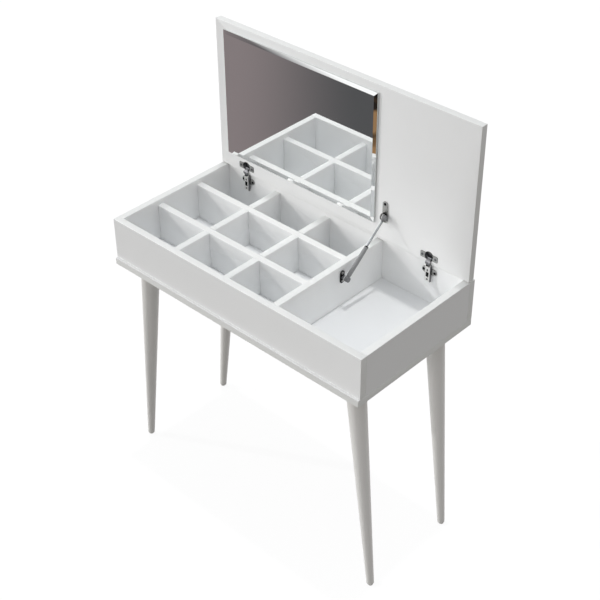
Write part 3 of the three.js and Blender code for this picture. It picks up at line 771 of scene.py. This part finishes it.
strut_top = Vector(joints["strut_rod_turn"]["pos_m"])
strut_axis = Vector(joints["strut_tube_slide"]["axis"])
strut_bottom = middle("strut_wall_bracket")
strut_bottom.x = strut_top.x
tube_mesh = revolved("strut_tube_turned", TUBE_OUTLINE)
seal_faces = [face.index for face in tube_mesh.polygons if face.center.z > SEAL_START]
tube_mesh.transform(laid_along(strut_bottom + strut_axis * SOCKET_REACH, strut_axis))
stand_in("strut_tube_turned", smooth(tube_mesh, sharp_degrees=50), "strut_tube", grey_paint,
         black_oxide)
for index in seal_faces:
    tube_mesh.polygons[index].material_index = 1

rod_mesh = revolved("strut_rod_turned", ROD_OUTLINE)
rod_mesh.transform(laid_along(strut_top - strut_axis * ROD_REACH, strut_axis))
stand_in("strut_rod_turned", smooth(rod_mesh, sharp_degrees=50), "strut_rod", chromium)
print("strut:", len(tube_mesh.polygons), "faces of tube,", len(rod_mesh.polygons), "of rod")

# %% Bend the clips
CLIP_RADIUS, WIRE_RADIUS = 6.6 * MM, 0.6 * MM
CLIP_OPENING = math.radians(70)
CLIP_SIDE = -3.6 * MM
CLIP_POINTS = 28


def bent_clip(name, body, centre, opening_towards):
    """A wire bent round the X axis, open on one side."""
    path = bpy.data.curves.new(name, "CURVE")
    path.dimensions = "3D"
    path.bevel_depth = WIRE_RADIUS
    path.bevel_resolution = 3
    path.use_fill_caps = True
    bend = path.splines.new("POLY")
    bend.points.add(CLIP_POINTS - 1)
    start = math.atan2(opening_towards.z, opening_towards.y) + CLIP_OPENING / 2
    for i, point in enumerate(bend.points):
        turn = start + (math.tau - CLIP_OPENING) * i / (CLIP_POINTS - 1)
        point.co = CLIP_SIDE, CLIP_RADIUS * math.cos(turn), CLIP_RADIUS * math.sin(turn), 1
    mesh = released(shown(name, path))
    mesh.transform(Matrix.Translation(centre))
    # Painted highlight: the clip takes the lighter copy of the nickel.
    dress(piece(name, smooth(mesh), body), nickel_painted_lit)


bent_clip("strut_bottom_clip", "strut_tube_body", strut_bottom, strut_axis)
bent_clip("strut_top_clip", "strut_rod_body", strut_top, -strut_axis)
print("strut direction", tuple(round(v, 3) for v in strut_axis))

# %% [markdown]
# ## Bevelled mirror
# The glass is ground at a shallow angle along all four sides, and its sharp arrises are
# taken off with a stone. Silver shows through the face and the bevel. The narrow edge is
# only polished, so it shows the glass itself.

# %% Grind the mirror
BEVEL_WIDTH, BEVEL_DEPTH, ARRIS = 10 * MM, 1.5 * MM, 0.4 * MM
UNSILVERED_FACES = 1 + 3 * 4  # the back, and four sides of two arrises and the edge


def ground_glass(low, high):
    arris_rise = BEVEL_DEPTH * ARRIS / BEVEL_WIDTH
    rings = ((ARRIS, high.y), (0, high.y - ARRIS), (0, low.y + BEVEL_DEPTH + ARRIS),
             (ARRIS, low.y + BEVEL_DEPTH - arris_rise), (BEVEL_WIDTH, low.y))
    points = [(x, y, z) for inset, y in rings for x, z in (
        (low.x + inset, low.z + inset), (high.x - inset, low.z + inset),
        (high.x - inset, high.z - inset), (low.x + inset, high.z - inset))]
    corners = [range(i, i + 4) for i in range(0, len(points), 4)]
    return mesh_of("bevelled_mirror", points, [corners[0][::-1], *bands(corners), corners[-1]])


glass_mesh = ground_glass(*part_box("mirror_glass"))
stand_in("bevelled_mirror", glass_mesh, "mirror_glass", mirror_edge, mirror_face)
for face in glass_mesh.polygons[UNSILVERED_FACES:]:
    face.material_index = 1
print("mirror faces:", len(glass_mesh.polygons))

# %% [markdown]
# ## Screws
# Every hinge and bracket is held by cross-head screws. They repeat, so one rule makes
# them all: it models one screw, puts a copy on each point, turns it to look out of the
# surface by an attribute of the point, and gives each its own chance angle, as screws
# driven by hand have. Head, cross and shank are one closed body. The screws of the cups
# lie almost flush, because the shut lid comes down on the back panel.

# %% The rule for screws
SCREW_FACES_ROUND, DOME_FACETS, SHANK_FACES_ROUND = 32, 5, 16
SHANK_SUNK = 0.45  # share of the shank's length from the surface down to its middle
BAR_DEPTHS = 2.0, 1.9  # in depths of the cross, unequal so that no bottoms coincide
WELD = 0.005 * MM


def screw_rule():
    tree, given = start_rule("cross_head_screws", (
        "Head radius", "Head height", "Dome", "Shank radius", "Shank length", "Cross length",
        "Cross width", "Cross depth"), ("Seed",))
    outline = ((0.0, 0.0), (given["Head radius"], 0.0),
               (given["Head radius"], given["Head height"]), (0.0, given["Head height"]))
    head = lathe(tree, outline, (0.0, given["Dome"]), DOME_FACETS, SCREW_FACES_ROUND)
    shank = add(tree, "GeometryNodeMeshCylinder", {
        "Vertices": SHANK_FACES_ROUND, "Radius": given["Shank radius"],
        "Depth": given["Shank length"]})
    sunk = add(tree, "ShaderNodeMath", {"Value": given["Shank length"],
                                        "Value_001": -SHANK_SUNK}, operation="MULTIPLY")
    below = add(tree, "ShaderNodeCombineXYZ", {"Z": sunk})
    lowered = add(tree, "GeometryNodeTransform", {"Geometry": shank, "Translation": below})
    whole = add(tree, "GeometryNodeMeshBoolean", {"Mesh 2": [head, lowered]},
                operation="UNION", solver="EXACT")
    on_top = add(tree, "ShaderNodeCombineXYZ", {"Z": given["Head height"]})
    bars = []
    for depths, *sides in zip(BAR_DEPTHS, ("Cross length", "Cross width"),
                              ("Cross width", "Cross length")):
        deep = add(tree, "ShaderNodeMath", {"Value": given["Cross depth"],
                                            "Value_001": depths}, operation="MULTIPLY")
        size = add(tree, "ShaderNodeCombineXYZ",
                   {"X": given[sides[0]], "Y": given[sides[1]], "Z": deep})
        bar = add(tree, "GeometryNodeMeshCube", {"Size": size})
        bars.append(add(tree, "GeometryNodeTransform", {"Geometry": bar, "Translation": on_top}))
    cross = add(tree, "GeometryNodeMeshBoolean", {"Mesh 1": whole, "Mesh 2": bars},
                operation="DIFFERENCE", solver="EXACT")
    clean = add(tree, "GeometryNodeMergeByDistance", {"Geometry": cross, "Distance": WELD})
    outwards = add(tree, "GeometryNodeInputNamedAttribute", {"Name": "outwards"},
                   data_type="FLOAT_VECTOR")
    facing = add(tree, "FunctionNodeAlignRotationToVector", {"Vector": outwards}, axis="Z")
    chance = add(tree, "FunctionNodeRandomValue",
                 {"Min_001": 0.0, "Max_001": math.pi, "Seed": given["Seed"]}, data_type="FLOAT")
    roll = add(tree, "FunctionNodeAxisAngleToRotation", {"Axis": (0, 0, 1), "Angle": chance})
    rolled = add(tree, "FunctionNodeRotateRotation", {"Rotation": facing, "Rotate By": roll},
                 rotation_space="LOCAL")
    copies = add(tree, "GeometryNodeInstanceOnPoints", {
        "Points": given["Start"], "Instance": clean, "Rotation": rolled})
    return finish_rule(tree, copies, given)


cross_screws = screw_rule()

# %% Five sizes of screw, in millimetres
WOOD_SCREW = {"Head radius": 3.4, "Head height": 1.3, "Dome": 0.9, "Shank radius": 1.7,
              "Shank length": 12, "Cross length": 3.6, "Cross width": 0.9, "Cross depth": 0.9}
CUP_SCREW = {**WOOD_SCREW, "Head height": 0.5, "Dome": 0.35, "Cross length": 3.2,
             "Cross depth": 0.4}
LEG_PLATE_SCREW = {**WOOD_SCREW, "Head radius": 4.2, "Head height": 1.8, "Dome": 1.3,
                   "Shank radius": 2.1}
ARM_SCREW = {**WOOD_SCREW, "Head radius": 2.1, "Head height": 4.4, "Dome": 0.5,
             "Shank radius": 1.5, "Shank length": 5, "Cross length": 2.6, "Cross width": 0.7}
CAM_SCREW = {**ARM_SCREW, "Head radius": 3.3, "Head height": 1.6, "Cross length": 4.0}


def screw_points(places):
    """A mesh of single points that know which way their screw looks."""
    mesh = mesh_of("screw_places", [place for place, _ in places], [])
    outwards = mesh.attributes.new("outwards", "FLOAT_VECTOR", "POINT")
    for point, (_, direction) in zip(outwards.data, places):
        point.vector = direction
    return mesh


def screws(name, body, material, millimetres, seed, places):
    sizes = {label: size * MM for label, size in millimetres.items()}
    mesh = shaped(cross_screws, {**sizes, "Seed": seed, "Material": material},
                  screw_points(places))
    piece(name, smooth(mesh, sharp_degrees=40), body)
    print(name, len(places), "screws,", len(mesh.polygons), "faces")


print("widest head:", 2 * LEG_PLATE_SCREW["Head radius"], "mm")

# %% Where the screws go
FRONT = (0, -1, 0)
FLANGE_PITCH, WING_PITCH, LID_BRACKET_PITCH, WALL_BRACKET_PITCH, LEG_PLATE_PITCH = (
    pitch * MM for pitch in (38, 32, 44, 22, 46))
SHEET = 2 * MM
WING_HALF_HEIGHT = 8 * MM
CAM_BELOW_WING, ARM_SCREW_BELOW_TOP = 6 * MM, 27 * MM
RIB_DEPTH = 4 * MM
BRACKET_HALF_WIDTH = 7.5 * MM
LEG_PLATE_UNDERSIDE = 2.8 * MM


def pair(centre, along, pitch, outwards):
    step = Vector(along) * pitch / 2
    return [(centre + step * side, outwards) for side in (-1, 1)]


lid_places, wall_places, arm_places, cam_places, leg_places = [], [], [], [], []
for side in ("left", "right"):
    cup = middle(side + "_hinge_cup")
    cup.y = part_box(side + "_hinge_cup")[0].y
    lid_places += pair(cup, (1, 0, 0), FLANGE_PITCH, FRONT)
    plate_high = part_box(side + "_hinge_plate")[1]
    wing = Vector((cup.x, plate_high.y - SHEET, plate_high.z - WING_HALF_HEIGHT))
    wall_places += pair(wing, (1, 0, 0), WING_PITCH, FRONT)
    rib_front = plate_high.y - RIB_DEPTH
    cam_places.append((Vector((cup.x, rib_front, wing.z - CAM_BELOW_WING)), FRONT))
    arm_places.append((Vector((cup.x, rib_front, plate_high.z - ARM_SCREW_BELOW_TOP)), FRONT))

bracket_low, bracket_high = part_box("strut_lid_bracket")
bracket = Vector((bracket_high.x - BRACKET_HALF_WIDTH, bracket_high.y - SHEET,
                  (bracket_low.z + bracket_high.z) / 2))
bracket_places = pair(bracket, (0, 0, 1), LID_BRACKET_PITCH, FRONT)
wall_bracket = middle("strut_wall_bracket")
wall_bracket.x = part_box("strut_wall_bracket")[1].x
divider_places = pair(wall_bracket, (0, 0, 1), WALL_BRACKET_PITCH, (1, 0, 0))
for corner in CORNERS:
    plate = middle(corner + "_leg_plate")
    plate.z = underside - LEG_PLATE_UNDERSIDE
    for side in (-1, 1):
        across = plate + Vector((0, side * LEG_PLATE_PITCH / 2, 0))
        leg_places += pair(across, (1, 0, 0), LEG_PLATE_PITCH, (0, 0, -1))
print("screws in a leg plate:", len(leg_places) // len(CORNERS))

# %% The screws
# Painted shade: the cup screws take the darker copy of the nickel.
screws("lid_screws", "lid", nickel_painted_shade, CUP_SCREW, 7, lid_places)
screws("lid_bracket_screws", "lid", black_oxide, WOOD_SCREW, 7, bracket_places)
screws("box_screws", "root", black_oxide, WOOD_SCREW, 7, wall_places)
screws("divider_screws", "root", nickel, WOOD_SCREW, 7, divider_places)
screws("leg_plate_screws", "root", zinc, LEG_PLATE_SCREW, 11, leg_places)
# The screws in the arms' window and slot are real parts; their black steel also stands in for the
# shade there, as painted shade.
screws("hinge_side_screws", "root", black_oxide, ARM_SCREW, 3, arm_places)
screws("hinge_cam_screws", "root", black_oxide, CAM_SCREW, 5, cam_places)

# %% [markdown]
# ## Studio
# The table stands on a studio floor under a soft sky, a little warm at the horizon and
# cool overhead. A small lamp straight above draws crisp shadows in the compartments. Three
# on the left, one small and two broad, model the front and the legs. Camera, metal and
# glass all see floor and sky as white, and the floor keeps a faint shadow. In front of the
# table's left half lies a grey mat, paler and warmer at its far end, with an oak board
# along its right side. Only metal and glass see those two: they are what the mirror shows.

# %% The studio's sizes and colours
FLOOR_REACH = 30
WHITE = linear("#FFFFFF")
HORIZON, ZENITH = linear("#968E85"), linear("#DDE3EB")
FLOOR_GREY, SHADOW_GREY, FLOOR_GLOW = linear("#8B8B8A"), linear("#696969"), 0.9
MAT_PALE, MAT_DARK = linear("#8C8282"), linear("#565657")
OAK_DARK, OAK_PALE, OAK_END = linear("#302924"), linear("#9B7955"), linear("#191919")
MAT_SLANT, MAT_DARKENING = (0.73, -0.684, 0), (-0.5, 0.05)
MAT_NEAR_X, MAT_NEAR_Y = (-0.1, -0.25), (-0.15, -0.3)
MAT_FAR_SLANT, MAT_FAR_EDGE = (0.25, -1, 0), (2.78, 2.6)
OAK_EDGE, OAK_FAR_EDGE = (0.3, 0.36), (1.62, 1.5)
KNOT, KNOT_CONTRAST = 1 / 9, (0.4, 0.6)


def ray_kinds(tree):
    """1 for the camera's rays, and 1 for those that metal and glass send on."""
    path = add(tree, "ShaderNodeLightPath").outputs
    sent_on = add(tree, "ShaderNodeMath", {"Value": path["Is Glossy Ray"],
                                           "Value_001": path["Is Transmission Ray"]},
                  operation="MAXIMUM")
    return path["Is Camera Ray"], sent_on


print("floor:", 2 * FLOOR_REACH, "m wide")


# %% The floor
def studio_floor():
    material, tree, place = start_material("studio_floor")
    camera_ray, sent_on = ray_kinds(tree)
    across = add(tree, "ShaderNodeSeparateXYZ", {"Vector": place}).outputs
    knots = add(tree, "ShaderNodeTexNoise", {"Vector": place, "Scale": 1 / KNOT, "Detail": 1})
    to_oak, to_far_edge = (
        add(tree, "ShaderNodeVectorMath", {"Vector": place, "Vector_001": slant},
            operation="DOT_PRODUCT") for slant in (MAT_SLANT, MAT_FAR_SLANT))
    near_x, near_y, far_edge, darkened, pale_knots, oak_end, on_oak = (
        add(tree, "ShaderNodeMapRange", {"Value": value, "From Min": edge[0], "From Max": edge[1]})
        for value, edge in (
            (across["X"], MAT_NEAR_X), (across["Y"], MAT_NEAR_Y), (to_far_edge, MAT_FAR_EDGE),
            (to_oak, MAT_DARKENING), (knots, KNOT_CONTRAST), (to_far_edge, OAK_FAR_EDGE),
            (to_oak, OAK_EDGE)))
    darkened.interpolation_type = "SMOOTHSTEP"
    covered = sent_on
    for edge in (near_x, near_y, far_edge):
        covered = add(tree, "ShaderNodeMath", {"Value": covered, "Value_001": edge},
                      operation="MULTIPLY")
    colours = {}
    for name, factor, first, second in (
            ("mat", darkened, MAT_PALE, MAT_DARK), ("knotted", pale_knots, OAK_DARK, OAK_PALE),
            ("oak", oak_end, OAK_END, "knotted"), ("mat_and_oak", on_oak, "mat", "oak"),
            ("floor", covered, FLOOR_GREY, "mat_and_oak")):
        colours[name] = add(tree, "ShaderNodeMix", {
            "Factor_Float": factor, "A_Color": colours.get(first, first),
            "B_Color": colours.get(second, second)}, data_type="RGBA")
    real = add(tree, "ShaderNodeBsdfDiffuse", {"Color": colours["floor"]})
    shadowed = add(tree, "ShaderNodeBsdfDiffuse", {"Color": SHADOW_GREY})
    white = add(tree, "ShaderNodeEmission", {"Color": WHITE, "Strength": FLOOR_GLOW})
    seen = add(tree, "ShaderNodeAddShader", {"Shader": shadowed, "Shader_001": white})
    looks = add(tree, "ShaderNodeMath", {"Value": camera_ray, "Value_001": sent_on},
                operation="MAXIMUM")
    sees_white = add(tree, "ShaderNodeMath", {"Value": looks, "Value_001": covered},
                     operation="SUBTRACT")
    return finish_material(material, add(tree, "ShaderNodeMixShader", {
        "Fac": sees_white, "Shader": real, "Shader_001": seen}))


floor = shown("floor", mesh_of("floor", [
    (x * FLOOR_REACH, y * FLOOR_REACH, 0) for x, y in ((-1, -1), (1, -1), (1, 1), (-1, 1))],
    [(0, 1, 2, 3)]))
dress(floor, studio_floor())
print("floor:", len(floor.data.materials[0].node_tree.nodes), "nodes")

# %% The sky
world = bpy.data.worlds.new("white_sky")
bpy.context.scene.world = world
world.use_nodes = True
heaven = world.node_tree
heaven.nodes.clear()
height = add(heaven, "ShaderNodeSeparateXYZ",
             {"Vector": add(heaven, "ShaderNodeTexCoord").outputs["Object"]}).outputs["Z"]
towards_zenith = add(heaven, "ShaderNodeMath", {"Value": height, "Value_001": height},
                     operation="MULTIPLY")
sky = add(heaven, "ShaderNodeMix", {"Factor_Float": towards_zenith, "A_Color": HORIZON,
                                    "B_Color": ZENITH}, data_type="RGBA")
sees_white = add(heaven, "ShaderNodeMath", dict(zip(("Value", "Value_001"), ray_kinds(heaven))),
                 operation="MAXIMUM")
sky_seen = add(heaven, "ShaderNodeMix", {"Factor_Float": sees_white, "A_Color": sky,
                                         "B_Color": WHITE}, data_type="RGBA")
add(heaven, "ShaderNodeOutputWorld",
    {"Surface": add(heaven, "ShaderNodeBackground", {"Color": sky_seen})})
print("sky:", len(heaven.nodes), "nodes")


# %% Lamps
def far_lamp(name, to_lamp, strength, angle):
    """A lamp so far away that its light is parallel. The angle is how wide it looks."""
    lamp = bpy.data.lights.new(name, "SUN")
    lamp.energy = strength
    lamp.angle = math.radians(angle)
    shown(name, lamp).rotation_euler = Vector(to_lamp).to_track_quat("Z", "Y").to_euler()
    print(name, "strength", strength, "width", angle, "degrees")


def compass(azimuth, height):
    """Direction towards a place in the sky. Azimuth 0 is in front, 90 to the right."""
    a, h = math.radians(azimuth), math.radians(height)
    return math.sin(a) * math.cos(h), -math.cos(a) * math.cos(h), math.sin(h)


far_lamp("high_lamp", (-0.028, 0.075, 1), 0.75, 2.2)
far_lamp("side_lamp", compass(-60, 26), 0.75, 1.6)
far_lamp("low_lamp", compass(-62, 4), 0.86, 30)
far_lamp("front_lamp", compass(-25, 8), 0.6, 30)
bpy.context.scene.view_settings.view_transform = "Standard"
